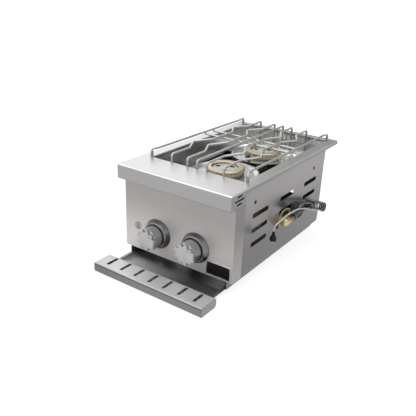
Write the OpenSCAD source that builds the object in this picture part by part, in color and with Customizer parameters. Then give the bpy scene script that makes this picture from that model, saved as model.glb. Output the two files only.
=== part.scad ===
// Built-in double side burner: a drop-in gas hob for a counter cut-out, with two
// brass burners in a well, a lift-off wire grate, two push-and-turn knobs, a
// pull-out drip tray under the body, and a gas and electric outlet on the right side.
// The origin is at the counter's top, mid width, in the plane of the front panel.
// +X is to the right, +Y to the rear, +Z up. The drip tray is drawn pulled out.

/* [Deck] */
// Width of the deck and of the body
deck_w = 350; // [345:1:370]
// Depth of the deck, from the lip's front to the rear edge
deck_d = 601; // [596:1:620]
// Height of the deck's side skirt above the counter
rim_h = 10.7; // [9:0.1:12]
// Height of the front lip
lip_h = 38; // [36:0.5:42]
// How far the lip stands in front of the front panel
overhang = 26; // [24:0.5:28]
// Strip of deck in front of the well
front_strip = 101; // [98:0.5:103]
// Strip of deck beside the well
side_strip = 29; // [28:0.5:31]
// Strip of deck behind the well
rear_strip = 16; // [15:0.5:18]
// Thickness of every sheet piece
sheet = 1.2; // [1:0.1:1.4]
// Outside radius of the bends that show
bend_r = 3; // [2:0.5:4]

/* [Body] */
// Depth of the body under the deck
body_d = 487; // [480:1:495]
// Height of the body below the counter
body_h = 228; // [224:1:236]
// Depth of the front panel's side returns
return_d = 38; // [36:1:42]
// Height of the base band that shows below the side panels
band_h = 7.7; // [6:0.1:10]
// Depth of the burner well below the counter
well_h = 50; // [48:1:54]
// Width of the ledge round the well's floor
ledge_w = 22; // [20:1:24]

/* [Side openings] */
// Length of a side vent slot
vent_l = 78; // [70:1:84]
// Height of a side vent slot
vent_h = 12.8; // [10:0.1:14]
// Spacing of the vent slots along the side
vent_pitch_y = 142.6; // [136:0.1:144]
// Spacing of the vent slots down the side
vent_pitch_z = 39.6; // [36:0.1:40]
// Centre of the first vent slot behind the front panel
vent_y = 114.4; // [108:0.1:118]
// Centre of the upper vent slots below the counter
vent_drop = 72.5; // [68:0.1:74]
// Spacing of the two fastening holes on each side
screw_pitch = 332; // [320:1:340]
// First fastening hole behind the front panel
screw_y = 84; // [80:1:90]
// Fastening holes below the counter
screw_drop = 36.6; // [34:0.1:38]
// Diameter of a fastening hole
screw_hole_d = 7; // [5:0.5:8]

/* [Controls] */
// Spacing of the two knobs
knob_pitch = 123; // [118:1:128]
// Knob axis below the counter
knob_drop = 164.3; // [160:0.1:167]
// Diameter of a knob at its rear rim
knob_d = 57; // [55:0.5:59]
// Length of a knob
knob_l = 35.5; // [33:0.5:38]
// Diameter of a bezel on the panel
bezel_d = 82; // [80:1:86]
// How far a bezel stands in front of the panel
bezel_h = 14; // [13:0.5:15]
// Push-in travel of a knob
push_travel = 3; // [2:0.5:3.5]
// Diameter of a valve stem
stem_d = 8; // [6:0.5:9]

/* [Burners] */
// Outside diameter of a burner crown
crown_d = 109.6; // [104:0.2:114]
// Inside diameter of a burner crown
crown_bore = 74; // [70:1:78]
// Height of a burner crown
crown_h = 14; // [12:0.5:15]
// Centre of the front burner behind the front panel
burner_y = 214; // [210:0.5:218]
// Spacing of the two burners
burner_pitch = 208.5; // [206:0.5:212]
// Top of the burner supports below the counter
support_drop = 40; // [38:0.5:42]
// Outside diameter of a heat dish
dish_d = 190; // [180:1:198]
// Gas ports round a crown
port_count = 36; // [24:1:40]

/* [Grate] */
// Diameter of a grate rod
rod_d = 6; // [5:0.25:7]
// Height of the rods' centre line above the counter
grate_z = 30.5; // [28:0.25:34]
// Offset of the inner pair of rods from the middle
inner_rod_x = 30.6; // [28:0.1:34]
// Offset of the second pair of rods from the middle
outer_rod_x = 81.7; // [78:0.1:88]
// Sideways swing of a rod's kink over a burner
kink_w = 28; // [24:0.5:32]
// Half length of a kink along the rod
kink_l = 55; // [50:1:62]

/* [Drip tray] */
// Width of the tray's handle
handle_w = 344; // [330:1:350]
// Depth of the tray's handle
handle_d = 60.9; // [56:0.1:66]
// Height of the tray's handle
handle_h = 25; // [22:0.5:28]
// Gap between the body and the top of the handle
handle_gap = 6; // [4:0.5:8]
// How far the tray is pulled out as drawn
tray_out = 64.3; // [30:0.1:120]
// Length of the tray pan
pan_l = 440; // [400:1:460]
// Distance from the body's side to the pan's floor
pan_side = 38; // [34:0.5:42]
// Depth of the pan
pan_h = 12; // [10:0.5:14]
// Length of a slot in the handle
grip_slot_l = 39; // [34:0.5:46]
// Width of a slot in the handle
grip_slot_w = 8.6; // [6:0.1:11]
// Spacing of the slots in the handle
grip_pitch = 46.1; // [42:0.1:48]

/* [Outlet] */
// Gas fitting behind the front panel
gas_y = 230; // [226:0.5:236]
// Gas fitting below the counter
gas_drop = 138; // [136:0.5:141]
// Outside diameter of the gas pipe
pipe_d = 14; // [12:0.5:15]
// How far the outlet elbow stands beyond the side
elbow_out = 15; // [14:0.5:18]
// Diameter of the mains cable
cable_d = 5.2; // [4.6:0.1:5.4]
// Diameter of the white lead
lead_d = 4.2; // [3.6:0.1:4.6]
// Diameter of the earth wire
earth_d = 3; // [2.4:0.1:3.2]

/* [Hidden] */
$fn = 48;
cut = 1;
gap = 0.3;
run_gap = 0.05;

pan_floor_w = deck_w - pan_side * 2;
deck_back = deck_d - overhang;
lip_z = rim_h - lip_h;
side_x = deck_w / 2;
deck_under = rim_h - sheet;
well_x = side_x - side_strip;
well_y0 = front_strip - overhang;
well_y1 = deck_back - rear_strip;
well_r = 6;
well_flange = 9;
lip_hem = 14;
tab_w = 16;
lip_vent_h = 4.5;
lip_vent_end = 9;
lip_vent_l = 42;
lip_vent_short_l = 23;
lip_vent_drop = 19;
lip_vent_pitch = 10;
relief_d = 5;

box_x = well_x + sheet + gap;
box_y0 = well_y0 - sheet - gap;
box_y1 = well_y1 + sheet + gap;
floor_z = -well_h;
rear_y0 = burner_y + burner_pitch;

valve_s = 24;
valve_l = 21;
neck_d = 15;
neck_out = 4;
nut_d = 22;
nut_h = 5;
panel_hole_d = 20;
stem_l = 40;
stem_flat = 1;
collar_d = 20;
collar_gap = 3.6;
hub_d = 18;
knob_wall = 4;
knob_face = 5;
knob_taper = 1;
knob_back = 15;
collar_h = knob_back - gap - neck_out - collar_gap;
lobe_count = 9;
lobe_d = 11;
lobe_h = 7;
star_in = 6.5;
grip_w = 26;
grip_x = 7;
grip_out = 2.5;
grip_h = 4.5;
grip_sink = 4;
grip_cut = 3;
grip_turns = [-6, 5];
bezel_mouth_d = 62;
bezel_t = 2.5;
bezel_lip = 2;
seal_t = 2.4;
knob_z = -knob_drop;

plate_h = 32.8;
plate_t = 1;
plate_in = 10;
plate_clear = 0.7;
plate_lift = 7.2;
plate_rim = 1.6;
plate_rim_t = 1.6;
plate_reach = bezel_d / 2 + plate_clear;
plate_under = min(max(knob_z + body_h - plate_lift - plate_h - plate_rim, 0), plate_reach);
plate_x = knob_pitch / 2 + plate_rim + sqrt(plate_reach * plate_reach - plate_under * plate_under);
plate_w = side_x - plate_in - plate_x;

manifold_y = sheet + nut_h + valve_l + pipe_d / 2 + gap;
manifold_drop = 14;
manifold_z = -gas_drop - manifold_drop;
manifold_in = 53;
manifold_end = side_x - manifold_in;
pipe_bend = 15;
gas_z = -gas_drop;
gas_hole_d = 24;
jet_d = 9;
jet_l = 12;
jet_y = 52;
jet_tube_d = 8;
tube_bend = 12;
mix_d = 24;
mix_wall = 2;
mix_bell_d = 34;
mix_bell_l = 20;
mix_drop = 24;
mix_z = -well_h - mix_drop;
throat_d = 34;
cup_d = 104;
cup_h = 8.4;
cup_wall = 3;
web_t = 2.4;
web_drop = 5;
web_hole_d = 14;
web_hole_r = 30;
boss_d = 16;
boss_h = 4;
lug_h = 2;
lug_w = 3;

support_w = 44;
support_in = 16;
support_x = well_x - support_in;
support_foot = 14;
dish_inner_d = cup_d + 2;
dish_rim_h = 6;
dish_lip = 4;
dish_floor_share = 0.86;
dish_floor_r = dish_d / 2 * dish_floor_share;
screw_x = (dish_inner_d / 2 + dish_floor_r) / 2;
screw_d = 8;
screw_h = 2.6;

port_w = 2.6;
port_h = 6.5;
port_drop = 3.2;
port_l = 6;
skirt_d = 2;

igniter_d = 7;
igniter_h = 19;
igniter_wire_d = 1.8;
igniter_in = 6.7;
igniter_off = dish_floor_r - igniter_in;
igniter_x = -4;
igniter_wire_l = 15;

grate_in = 6;
grate_y0 = well_y0 + grate_in;
grate_y1 = well_y1 - grate_in * 2;
edge_rod_x = well_x - 1.4;
foot_d = 8;
foot_x = well_x + foot_d / 2 + gap;
foot_top = grate_z - rod_d;
rod_bend = 6;
kink_back_l = 50;
bar_y_shares = [0.51, 0.605];

handle_top = -body_h - handle_gap;
handle_y1 = -tray_out;
handle_y0 = handle_y1 - handle_d;
rim_drop = 13.4;
pan_top = handle_top - rim_drop;
pan_slope = 12;
pan_rim_w = 7;
rail_w = 10;
rail_drop = gap;
slot_y_share = 0.24;
slot_r = 2;
handle_back_r = 7;
handle_groove = 1.8;
handle_groove_in = 1.4;
handle_groove_drop = 3.4;
vent_r = 4;
hem_gap = 0.8;
hem_drop = 0.5;

elbow_d = 22;
elbow_l = 14;
hex_d = 25;
hex_h = 5;
nut_l = 22;
nut_share = 0.5;
fit_d = 17;
seal_l = 10;
seal_d = 17;
sleeve_l = 50;
sleeve_d = 19;
core_d = 14;
core_back = 8;
sleeve_sink = 4;
window_l = 34;
window_h = 9;
window_in = 1.2;

cable_y = 261.8;
cable_z = -129;
cable_hole_d = 12;
grommet_d = 19;
grommet_bore = 10.2;
grommet_h = 2.5;

hank_start = [189, 264, -103];
hank_axis = [0, 192, -60];
hank_arch = 7;
hank_r = 11.6;
hank_waist = 5.6;
hank_turns = 3.645;
hank_pitch = 5.8;
hank_steps = 40;
fold_share = 0.1;
tie_w = 9;
tie_t = 1.2;
tail_route = [[171, 264, -129], [176, 264, -129], [181, 264, -128], [185.2, 264, -125.2],
    [188, 264, -121], [189, 264, -116], [189, 264, -110]];
earth_route = [[171, 258.7, -129], [176, 258.7, -129], [179.6, 258.7, -128.4], [182.8, 258.5, -126.5],
    [185.1, 258, -123.6], [186.4, 257, -120], [188, 253, -111.5], [191, 241, -101.5], [192.5, 226, -96.5],
    [192.5, 211, -95.5], [192, 200, -99.5], [191.5, 195, -108], [190.5, 195.3, -119],
    [187, 200, -132], [182.5, 206, -141], [178.4, 210, -145.2]];
lead_route = [[212, 404, -155], [213, 382, -147.6], [213, 343.4, -133.2], [213, 318, -122.6],
    [213, 293, -112.6], [212.8, 261.4, -103.4], [212.5, 240.5, -99.6], [212.5, 213, -97],
    [212.5, 193, -96.6], [212.5, 169, -98.3], [212.5, 148, -100.8], [212.5, 139, -101.9],
    [212.5, 132, -103.2], [212.5, 127.3, -105.1], [212.5, 123.8, -108], [212.5, 121.8, -111.5],
    [212.5, 121.2, -115.3]];
plug_top = [212.5, 121.2, -117.5];
plug_d = 17.5;
plug_neck_d = 7.5;
plug_l = 26;
pin_d = 3;
pin_l = 5;
pin_gap = 9;
terminal_y = 212;
terminal_z = -150;
terminal_d = 11;
terminal_t = 1.5;
terminal_screw_d = 8;

tone_steel = [0.75, 0.75, 0.76];
tone_dark = [0.15, 0.15, 0.16];
tone_brass = [0.72, 0.58, 0.3];
tone_chrome = [0.85, 0.85, 0.87];

// Extrudes an outline in Y and Z along X, centred on x = 0
module along_x(l) { rotate([90, 0, 90]) linear_extrude(height = l, center = true) children(); }

// Extrudes an outline in Y and Z by one sheet, its face at x
module plate_x(x) { translate([x, 0, 0]) along_x(sheet) children(); }

// Extrudes an outline in X and Z from y towards the rear
module along_y(y, l) { translate([0, y + l, 0]) rotate([90, 0, 0]) linear_extrude(height = l) children(); }

// Cylinder along +Y from a point
module rod_y(p, d, l, d2 = 0) {
    translate(p) rotate([-90, 0, 0]) cylinder(d1 = d, d2 = d2 > 0 ? d2 : d, h = l);
}

module rounded(w, d, r) {
    square([w - r * 2, d], center = true);
    square([w, d - r * 2], center = true);
    for (x = [-1, 1], y = [-1, 1]) translate([x * (w / 2 - r), y * (d / 2 - r)]) circle(r = r);
}

module slot(l, h) {
    square([l - h, h], center = true);
    for (x = [-1, 1]) translate([x * (l - h) / 2, 0]) circle(d = h);
}

// A side view that is rounded at its upper front corner
module front_rounded(y, z, d, h, r) {
    translate([y + r, z]) square([d - r, h]);
    translate([y, z]) square([d, h - r]);
    translate([y + r, z + h - r]) circle(r = r);
}

// Round bar between two points with a round start
module bar(a, b, d) {
    v = b - a;
    translate(a) rotate([0, acos(v[2] / norm(v)), atan2(v[1], v[0])]) cylinder(d = d, h = norm(v));
    translate(a) sphere(d = d);
}

module bar_line(p, d) {
    for (i = [0 : len(p) - 2]) bar(p[i], p[i + 1], d);
    translate(p[len(p) - 1]) sphere(d = d);
}

function unit(v) = v / norm(v);
function tangents(p) = [for (i = [0 : len(p) - 1])
    unit(p[min(i + 1, len(p) - 1)] - p[max(i - 1, 0)])];
function square_to(t, n) = unit(n - (n * t) * t);
function normals(t, n0) = [for (i = 0, n = square_to(t[0], n0); i < len(t);
    n = square_to(t[min(i + 1, len(t) - 1)], n), i = i + 1) n];
function curve_at(p, i, u) = let (a = p[max(i - 1, 0)], b = p[i], c = p[i + 1],
    d = p[min(i + 2, len(p) - 1)])
    b + ((c - a) * u + (a * 2 - b * 5 + c * 4 - d) * u * u + (b * 3 - a - c * 3 + d) * u * u * u) / 2;
function smooth(p, s) = concat([for (i = [0 : len(p) - 2], k = [0 : s - 1]) curve_at(p, i, k / s)],
    [p[len(p) - 1]]);

function bends(p, c, s) = concat([p[0]], [for (i = [1 : len(p) - 2])
    let (a = p[i] + unit(p[i - 1] - p[i]) * c, b = p[i] + unit(p[i + 1] - p[i]) * c)
    for (k = [0 : s]) let (u = k / s) a * (1 - u) * (1 - u) + p[i] * 2 * u * (1 - u) + b * u * u],
    [p[len(p) - 1]]);

// One tube swept along a path
module tube(p, d, s, n0 = [0, 0, 1]) {
    t = tangents(p);
    n = normals(t, n0);
    last = (len(p) - 1) * s;
    points = [for (i = [0 : len(p) - 1], k = [0 : s - 1])
        p[i] + (n[i] * cos(k * 360 / s) + cross(t[i], n[i]) * sin(k * 360 / s)) * d / 2];
    sides = [for (i = [0 : len(p) - 2], k = [0 : s - 1], h = [0, 1]) let (a = i * s + k,
        b = i * s + (k + 1) % s) h == 0 ? [a, a + s, b + s] : [a, b + s, b]];
    ends = [for (k = [1 : s - 2], h = [0, 1]) h == 0 ? [0, k, k + 1] : [last, last + k + 1, last + k]];
    polyhedron(points = points, faces = concat(sides, ends), convexity = 10);
}

module deck_zone() {
    translate([-overhang, 0]) square([deck_d, rim_h]);
    translate([-overhang, lip_z]) square([overhang + return_d, lip_h]);
}

module top_trim() {
    color(tone_steel) difference() {
        union() {
            along_x(deck_w) difference() {
                intersection() {
                    front_rounded(-overhang, lip_z, deck_d, lip_h, bend_r);
                    union() {
                        translate([-overhang, 0]) square([deck_d, rim_h]);
                        translate([-overhang, lip_z]) square([lip_hem, lip_h]);
                    }
                }
                front_rounded(-overhang + sheet, lip_z + sheet, deck_d - sheet * 2, lip_h - sheet * 2,
                    bend_r - sheet);
            }
            for (s = [-1, 1]) plate_x(s * (side_x - sheet / 2)) difference() {
                intersection() {
                    front_rounded(-overhang, lip_z, deck_d, lip_h, bend_r);
                    deck_zone();
                }
                for (i = [-1, 0, 1]) translate([return_d - lip_vent_end
                    - (i == 0 ? lip_vent_l : lip_vent_short_l) / 2 - (i == 0 ? 0 : lip_vent_end),
                    rim_h - lip_vent_drop - i * lip_vent_pitch])
                    slot(i == 0 ? lip_vent_l : lip_vent_short_l, lip_vent_h);
            }
            translate([0, (well_y0 + well_y1) / 2, rim_h - well_flange])
                linear_extrude(height = well_flange - sheet / 2)
                rounded((well_x + sheet) * 2, well_y1 - well_y0 + sheet * 2, well_r + sheet);
            translate([-side_x + sheet / 2, box_y1 + sheet + hem_gap, -hem_drop])
                cube([deck_w - sheet, deck_back - box_y1 - sheet * 3 / 2 - hem_gap, sheet + hem_drop]);
        }
        translate([0, (well_y0 + well_y1) / 2, -well_flange]) linear_extrude(height = rim_h * 3)
            rounded(well_x * 2, well_y1 - well_y0, well_r);
    }
}

module u_plan(w, d, r) {
    difference() {
        translate([0, d / 2]) union() {
            square([w - r * 2, d], center = true);
            translate([0, r / 2]) square([w, d - r], center = true);
            for (x = [-1, 1]) translate([x * (w / 2 - r), r - d / 2]) circle(r = r);
        }
        translate([0, sheet + d / 2]) square([w - sheet * 2, d], center = true);
    }
}

module front_panel() {
    face_top = deck_under - gap;
    color(tone_steel) difference() {
        union() {
            translate([0, 0, -body_h]) linear_extrude(height = body_h + lip_z - gap)
                u_plan(deck_w, return_d, bend_r);
            translate([-side_x + sheet + gap, 0, lip_z - gap - sheet])
                cube([deck_w - (sheet + gap) * 2, sheet, face_top - lip_z + gap + sheet]);
        }
        for (s = [-1, 1]) rod_y([s * knob_pitch / 2, -cut, knob_z], panel_hole_d, sheet + cut * 2);
    }
}

module vents(skip) {
    for (i = [0 : 2], k = [0 : 2]) if (!(skip && i == 1 && k == 2))
        translate([vent_y + i * vent_pitch_y, -vent_drop - k * vent_pitch_z]) rounded(vent_l, vent_h, vent_r);
    for (i = [0, 1]) translate([screw_y + i * screw_pitch, -screw_drop]) circle(d = screw_hole_d);
    if (skip) {
        translate([gas_y, gas_z]) circle(d = gas_hole_d);
        translate([cable_y, cable_z]) circle(d = cable_hole_d);
    }
}

module side_panel(s) {
    color(tone_steel) {
        plate_x(s * (side_x - sheet / 2)) difference() {
            translate([return_d + gap, -body_h + band_h])
                square([body_d - return_d - gap, body_h - band_h - gap]);
            vents(s > 0);
        }
        plate_x(s * (side_x - sheet * 3 / 2)) {
            translate([return_d + gap, -tab_w])
                square([body_d - return_d - sheet - gap * 2, tab_w + deck_under]);
            translate([return_d - tab_w, -body_h + band_h * 3])
                square([tab_w * 2, body_h - band_h * 3 - tab_w * 2]);
        }
    }
}

module side_panel_left() { side_panel(-1); }
module side_panel_right() { side_panel(1); }

module rear_panel() {
    inner_x = side_x - sheet;
    ear_x = box_x + sheet + gap;
    low_z = -body_h + sheet;
    color(tone_steel) difference() {
        union() {
            translate([-inner_x, body_d - sheet, low_z])
                cube([inner_x * 2, sheet, floor_z - sheet - gap - low_z]);
            for (s = [-1, 1]) translate([s > 0 ? ear_x : -inner_x, body_d - sheet, low_z])
                cube([inner_x - ear_x, sheet, deck_under - low_z]);
            for (s = [-1, 1]) plate_x(s * (side_x - sheet * 3 / 2))
                translate([body_d - tab_w, -body_h + band_h * 3])
                square([tab_w, body_h - band_h * 3 - tab_w * 2]);
        }
        along_y(body_d - sheet - cut, sheet + cut * 2)
            for (i = [-1, 1], k = [1, 2]) translate([i * vent_l, -vent_drop - k * vent_pitch_z])
            rounded(vent_l, vent_h, vent_r);
    }
}

module base_pan() {
    base_x = side_x - sheet;
    base_y0 = sheet + gap;
    base_l = body_d - base_y0;
    window = ledge_w * 2;
    window_y0 = base_y0 + window;
    window_y1 = handle_y1 + pan_l - window;
    color(tone_steel) difference() {
        union() {
            translate([-base_x, base_y0, -body_h]) cube([base_x * 2, base_l, sheet]);
            for (s = [-1, 1]) plate_x(s * (side_x - sheet * 3 / 2))
                translate([base_y0, -body_h]) square([base_l - sheet - gap, band_h * 2]);
        }
        translate([0, (window_y0 + window_y1) / 2, -body_h - cut]) linear_extrude(height = sheet + cut * 2)
            rounded(base_x * 2 - window * 2, window_y1 - window_y0, well_r);
    }
}

module firebox() {
    mid_y = (box_y0 + box_y1) / 2;
    len_y = box_y1 - box_y0;
    color(tone_steel) difference() {
        translate([0, mid_y, floor_z - sheet]) linear_extrude(height = well_h + sheet + deck_under)
            rounded((box_x + sheet) * 2, len_y + sheet * 2, well_r + sheet);
        translate([0, mid_y, floor_z]) linear_extrude(height = well_h + rim_h)
            rounded(box_x * 2, len_y, well_r);
        translate([0, mid_y, floor_z - sheet - cut]) linear_extrude(height = sheet + cut * 2)
            rounded((box_x - ledge_w) * 2, len_y - ledge_w * 2, well_r);
    }
}

module burner_support(y) {
    difference() {
        union() {
            translate([-support_x, y - support_w / 2, -support_drop - sheet])
                cube([support_x * 2, support_w, sheet]);
            for (s = [-1, 1]) {
                translate([s > 0 ? support_x - sheet : -support_x, y - support_w / 2, floor_z])
                    cube([sheet, support_w, well_h - support_drop]);
                translate([s > 0 ? support_x - sheet : -support_x - support_foot + sheet,
                    y - support_w / 2, floor_z]) cube([support_foot, support_w, sheet]);
            }
        }
        translate([0, y, -support_drop - sheet - cut]) cylinder(d = throat_d + cut, h = sheet + cut * 2);
    }
}

module burner_supports() {
    color(tone_steel) for (y = [burner_y, rear_y0]) burner_support(y);
}

// A shallow dish with a rolled rim, open in the middle for the burner's cup
module dish(y) {
    r = dish_d / 2;
    rf = r * dish_floor_share;
    color(tone_chrome) translate([0, y, -support_drop]) rotate_extrude() polygon([
        [dish_inner_d / 2, 0], [rf, 0], [r - dish_lip, dish_rim_h - sheet], [r, dish_rim_h - sheet],
        [r, dish_rim_h], [r - dish_lip, dish_rim_h], [rf, sheet], [dish_inner_d / 2, sheet]]);
}

module dish_front() { dish(burner_y); }
module dish_rear() { dish(rear_y0); }

module dish_screws() {
    color(tone_chrome) for (y = [burner_y, rear_y0], s = [-1, 1])
        translate([s * screw_x, y, -support_drop + sheet]) difference() {
            cylinder(d1 = screw_d, d2 = screw_d * 0.7, h = screw_h);
            for (a = [0, 90]) rotate(a) translate([-screw_d / 2, -sheet / 2, screw_h / 2])
                cube([screw_d, sheet, screw_h]);
        }
}

// Cast cup with a spider web, a throat and a mixing tube that runs forward to its jet
module burner_base(y, s) {
    web_z = cup_h + crown_h - web_drop;
    v = [s * knob_pitch / 2, jet_y - y];
    l = norm(v) - jet_l / 2;
    color(tone_steel) {
        translate([0, y, -support_drop]) difference() {
            union() {
                cylinder(d = cup_d, h = cup_h);
                cylinder(d = crown_bore - cup_wall, h = web_z);
                translate([0, 0, web_z]) cylinder(d1 = boss_d, d2 = boss_d / 2, h = boss_h);
            }
            translate([0, 0, cup_wall]) cylinder(d = crown_bore - cup_wall * 3, h = web_z - cup_wall - web_t);
            translate([0, 0, -cut]) cylinder(d = throat_d - mix_wall * 2, h = cup_h);
            for (a = [60, 180, 300]) rotate(a) translate([web_hole_r - web_hole_d / 2, 0, web_z - web_t * 2])
                cylinder(d = web_hole_d, h = web_t * 3);
        }
        difference() {
            union() {
                translate([0, y, mix_z]) cylinder(d = throat_d, h = -support_drop - mix_z);
                translate([0, y, mix_z]) sphere(d = throat_d);
                translate([0, y, mix_z]) rotate([0, 0, atan2(v[1], v[0])]) rotate([0, 90, 0]) {
                    cylinder(d = mix_d, h = l - mix_bell_l / 2);
                    translate([0, 0, l - mix_bell_l]) cylinder(d1 = mix_d, d2 = mix_bell_d, h = mix_bell_l);
                }
            }
            translate([0, y, mix_z]) cylinder(d = throat_d - mix_wall * 2, h = -support_drop - mix_z + cut);
            translate([0, y, mix_z]) rotate([0, 0, atan2(v[1], v[0])]) rotate([0, 90, 0]) {
                cylinder(d = mix_d - mix_wall * 2, h = l);
                translate([0, 0, l - mix_bell_l]) cylinder(d1 = mix_d - mix_wall * 2,
                    d2 = mix_bell_d - mix_wall, h = mix_bell_l + cut / 4);
            }
        }
    }
}

module burner_base_front() { burner_base(burner_y, -1); }
module burner_base_rear() { burner_base(rear_y0, 1); }

// Brass ring with gas ports round its side and a beaded top edge
module burner_crown(y) {
    r = crown_d / 2;
    color(tone_brass) translate([0, y, -support_drop + cup_h]) difference() {
        rotate_extrude() polygon([[crown_bore / 2, 0], [r - skirt_d, 0], [r - skirt_d, crown_h / 4],
            [r, crown_h / 3], [r, crown_h - skirt_d], [r - skirt_d, crown_h],
            [crown_bore / 2 + skirt_d, crown_h], [crown_bore / 2, crown_h - skirt_d / 2]]);
        for (i = [0 : port_count - 1]) rotate(i * 360 / port_count)
            translate([r - port_l, -port_w / 2, crown_h - port_drop - port_h])
            cube([port_l * 2, port_w, port_h]);
    }
}

module burner_crown_front() { burner_crown(burner_y); }
module burner_crown_rear() { burner_crown(rear_y0); }

// Ceramic electrode with a bent wire that points at the crown
module igniter(y, s) {
    z = -support_drop + sheet;
    color(tone_dark) translate([igniter_x, y + s * igniter_off, z]) {
        cylinder(d = igniter_d, h = igniter_h);
        cylinder(d = igniter_d * 1.4, h = igniter_h / 4);
    }
    color(tone_chrome) translate([igniter_x, y + s * igniter_off, z]) {
        cylinder(d = igniter_wire_d, h = igniter_h + igniter_wire_d);
        translate([0, 0, igniter_h + igniter_wire_d]) rotate([s * 90, 0, 0])
            cylinder(d = igniter_wire_d, h = igniter_wire_l);
        translate([0, 0, igniter_h + igniter_wire_d]) sphere(d = igniter_wire_d);
    }
}

module igniter_front() { igniter(burner_y, 1); }
module igniter_rear() { igniter(rear_y0, -1); }

module elbow(d, r) {
    rotate_extrude(angle = 90) translate([r, 0]) circle(d = d);
}

// Gas rail behind the valves, with its feed from the outlet on the right
module gas_manifold() {
    feed_x = manifold_end + pipe_bend;
    exit_x = side_x - sheet - gap;
    drop = gas_z - manifold_z;
    color(tone_steel) {
        translate([-manifold_end, manifold_y, manifold_z]) rotate([0, 90, 0])
            cylinder(d = pipe_d, h = manifold_end * 2);
        translate([manifold_end, manifold_y + pipe_bend, manifold_z]) rotate([0, 0, -90])
            elbow(pipe_d, pipe_bend);
        bar_line([[feed_x, manifold_y + pipe_bend, manifold_z],
            [feed_x, gas_y - pipe_bend * 3, manifold_z], [feed_x, gas_y - pipe_bend, manifold_z + drop]], pipe_d);
        translate([feed_x + pipe_bend, gas_y - pipe_bend, gas_z]) rotate([0, 0, 90])
            elbow(pipe_d, pipe_bend);
        translate([feed_x + pipe_bend, gas_y, gas_z]) rotate([0, 90, 0])
            cylinder(d = pipe_d, h = exit_x - feed_x - pipe_bend);
    }
}

// Valve with its neck through the panel, an inner lock nut and a bore for the stem
module valve(s) {
    x = s * knob_pitch / 2;
    color(tone_brass) difference() {
        union() {
            translate([x - valve_s / 2, sheet + nut_h, knob_z - valve_s / 2])
                cube([valve_s, valve_l, valve_s]);
            rod_y([x, sheet, knob_z], nut_d, nut_h + cut);
            rod_y([x, -neck_out, knob_z], neck_d, neck_out + sheet + cut);
            translate([x, sheet + nut_h + valve_l / 2, knob_z + valve_s / 2])
                cylinder(d = jet_tube_d + mix_wall * 2, h = nut_h);
        }
        rod_y([x, -neck_out - cut, knob_z], stem_d + gap * 2, stem_l / 2);
    }
}

module valve_left() { valve(-1); }
module valve_right() { valve(1); }

// Feed tube from a valve up to the jet inside its burner's bell
module gas_tube(s) {
    x = s * knob_pitch / 2;
    y = sheet + nut_h + valve_l / 2;
    z = knob_z + valve_s / 2 + nut_h;
    color(tone_brass) {
        translate([x, y, z]) cylinder(d = jet_tube_d, h = mix_z - tube_bend - z);
        translate([x, y + tube_bend, mix_z - tube_bend]) rotate([90, 0, 90]) rotate([0, 0, 90])
            elbow(jet_tube_d, tube_bend);
        rod_y([x, y + tube_bend, mix_z], jet_tube_d, jet_y - y - tube_bend);
        rod_y([x, jet_y - jet_l, mix_z], jet_d + mix_wall, jet_l * 3 / 4);
    }
}

module gas_tube_left() { gas_tube(-1); }
module gas_tube_right() { gas_tube(1); }

module flat_shaft(d, l, flat) {
    intersection() {
        cylinder(d = d, h = l);
        translate([-d / 2, -d / 2, 0]) cube([d, d - flat, l]);
    }
}

// Valve stem with a flat, from inside the valve to the knob's hub
module stem(s) {
    color(tone_chrome) translate([s * knob_pitch / 2, stem_l / 4, knob_z]) rotate([90, 0, 0])
        flat_shaft(stem_d, stem_l, stem_flat);
}

module stem_left() { stem(-1); }
module stem_right() { stem(1); }

// Collar that moves in with the stem and carries the knob's turn
module collar(s) {
    color(tone_dark) difference() {
        rod_y([s * knob_pitch / 2, -neck_out - collar_gap - collar_h, knob_z], collar_d, collar_h);
        rod_y([s * knob_pitch / 2, -neck_out - collar_gap - collar_h - cut, knob_z],
            stem_d + run_gap * 2, collar_h + cut * 2);
    }
}

module collar_left() { collar(-1); }
module collar_right() { collar(1); }

// Flared bezel with a rolled front lip
module bezel(s) {
    r = bezel_d / 2;
    m = bezel_mouth_d / 2;
    color(tone_chrome) translate([s * knob_pitch / 2, 0, knob_z]) rotate([90, 0, 0])
        rotate_extrude($fn = 96) polygon([[r, 0], [r, bezel_lip], [m + bezel_t * 2, bezel_h - bezel_lip],
            [m + bezel_t, bezel_h], [m, bezel_h], [m, bezel_h - bezel_t], [m + bezel_t, bezel_h - bezel_t * 2],
            [r - bezel_t * 2, bezel_lip], [r - bezel_t * 2, 0]]);
}

module bezel_left() { bezel(-1); }
module bezel_right() { bezel(1); }

// Black seal that closes the bezel's mouth behind the knob
module seal(s) {
    y = bezel_h - bezel_t * 2 - seal_t;
    color(tone_dark) translate([s * knob_pitch / 2, -y, knob_z]) rotate([90, 0, 0])
        difference() {
            cylinder(d = bezel_mouth_d + bezel_t * 2 - gap * 2, h = seal_t);
            translate([0, 0, -cut]) cylinder(d = collar_d + gap * 4, h = seal_t + cut * 2);
        }
}

module seal_left() { seal(-1); }
module seal_right() { seal(1); }

// Hollow knob with a lobed star on its front, a raised block as a pointer and a hub
// that takes the stem
module star(r) {
    circle(r = r - star_in);
    for (i = [0 : lobe_count - 1]) rotate(i * 360 / lobe_count) translate([r - lobe_d / 2, 0]) circle(d = lobe_d);
}

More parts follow.
